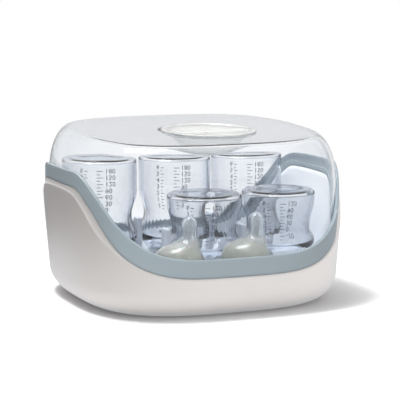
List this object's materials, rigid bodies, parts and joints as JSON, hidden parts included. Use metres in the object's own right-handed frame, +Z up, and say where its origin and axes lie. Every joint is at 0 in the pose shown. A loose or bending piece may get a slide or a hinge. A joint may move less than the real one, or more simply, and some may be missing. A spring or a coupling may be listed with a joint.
{
  "type": "bottle sterilizer",
  "caption": "Microwave steam bottle sterilizer: white shell with a wavy grey rim, a rack of upturned bottles and teats, and a clear lid with a recessed grip.",
  "frame": {"origin": "middle of the footprint, on the surface the shell stands on", "axes": "+X along the longer side, front towards -Y, +Z up"},
  "size_m": [0.27, 0.2502, 0.1637],
  "materials": {
    "white_shell": "satin moulded, warm white",
    "grey_band": "fine matt moulded, blue grey",
    "rack_white": "smooth moulded, translucent white",
    "clear_lid": "clear, high gloss",
    "milky_handle": "milky translucent, smooth",
    "clear_bottle": "clear, high gloss, printed graduation",
    "silicone": "translucent silicone"
  },
  "bodies": {
    "base": {"outer_shell": "white_shell", "inner_basin": "white_shell", "rim_band": "grey_band"},
    "rack": {"bottle_rack": "rack_white", "collar_back_left": "rack_white", "collar_back_middle": "rack_white", "collar_back_right": "rack_white", "collar_front_left": "rack_white", "collar_front_middle": "rack_white", "collar_front_right": "rack_white", "upright_back_left": "rack_white", "upright_back_right": "rack_white", "upright_front_left": "rack_white", "upright_front_right": "rack_white", "foot_back_left": "rack_white", "foot_back_middle": "rack_white", "foot_back_right": "rack_white", "foot_front_left": "rack_white", "foot_front_middle": "rack_white", "foot_front_right": "rack_white", "teat_seat_left": "rack_white", "teat_seat_right": "rack_white"},
    "lid": {"lid": "clear_lid", "lid_handle": "milky_handle"},
    "bottle_back_left": {"bottle_back_left": "clear_bottle"},
    "bottle_back_middle": {"bottle_back_middle": "clear_bottle"},
    "bottle_back_right": {"bottle_back_right": "clear_bottle"},
    "bottle_front_middle": {"bottle_front_middle": "clear_bottle"},
    "bottle_front_right": {"bottle_front_right": "clear_bottle"},
    "teat_left": {"teat_left": "silicone"},
    "teat_right": {"teat_right": "silicone"}
  },
  "joints": [
    {"name": "rack_lift", "type": "slide", "parent": "base", "child": "rack", "axis": [0, 0, 1], "range_m": [0, 0.13]},
    {"name": "lid_lift", "type": "slide", "parent": "rack", "child": "lid", "axis": [0, 0, 1], "range_m": [0, 0.19]},
    {"name": "bottle_back_left_lift", "type": "slide", "parent": "rack", "child": "bottle_back_left", "axis": [0, 0, 1], "range_m": [0, 0.015]},
    {"name": "bottle_back_middle_lift", "type": "slide", "parent": "rack", "child": "bottle_back_middle", "axis": [0, 0, 1], "range_m": [0, 0.015]},
    {"name": "bottle_back_right_lift", "type": "slide", "parent": "rack", "child": "bottle_back_right", "axis": [0, 0, 1], "range_m": [0, 0.015]},
    {"name": "bottle_front_middle_lift", "type": "slide", "parent": "rack", "child": "bottle_front_middle", "axis": [0, 0, 1], "range_m": [0, 0.032]},
    {"name": "bottle_front_right_lift", "type": "slide", "parent": "rack", "child": "bottle_front_right", "axis": [0, 0, 1], "range_m": [0, 0.032]},
    {"name": "teat_left_lift", "type": "slide", "parent": "rack", "child": "teat_left", "axis": [0, 0, 1], "range_m": [0, 0.03]},
    {"name": "teat_right_lift", "type": "slide", "parent": "rack", "child": "teat_right", "axis": [0, 0, 1], "range_m": [0, 0.03]}
  ]
}
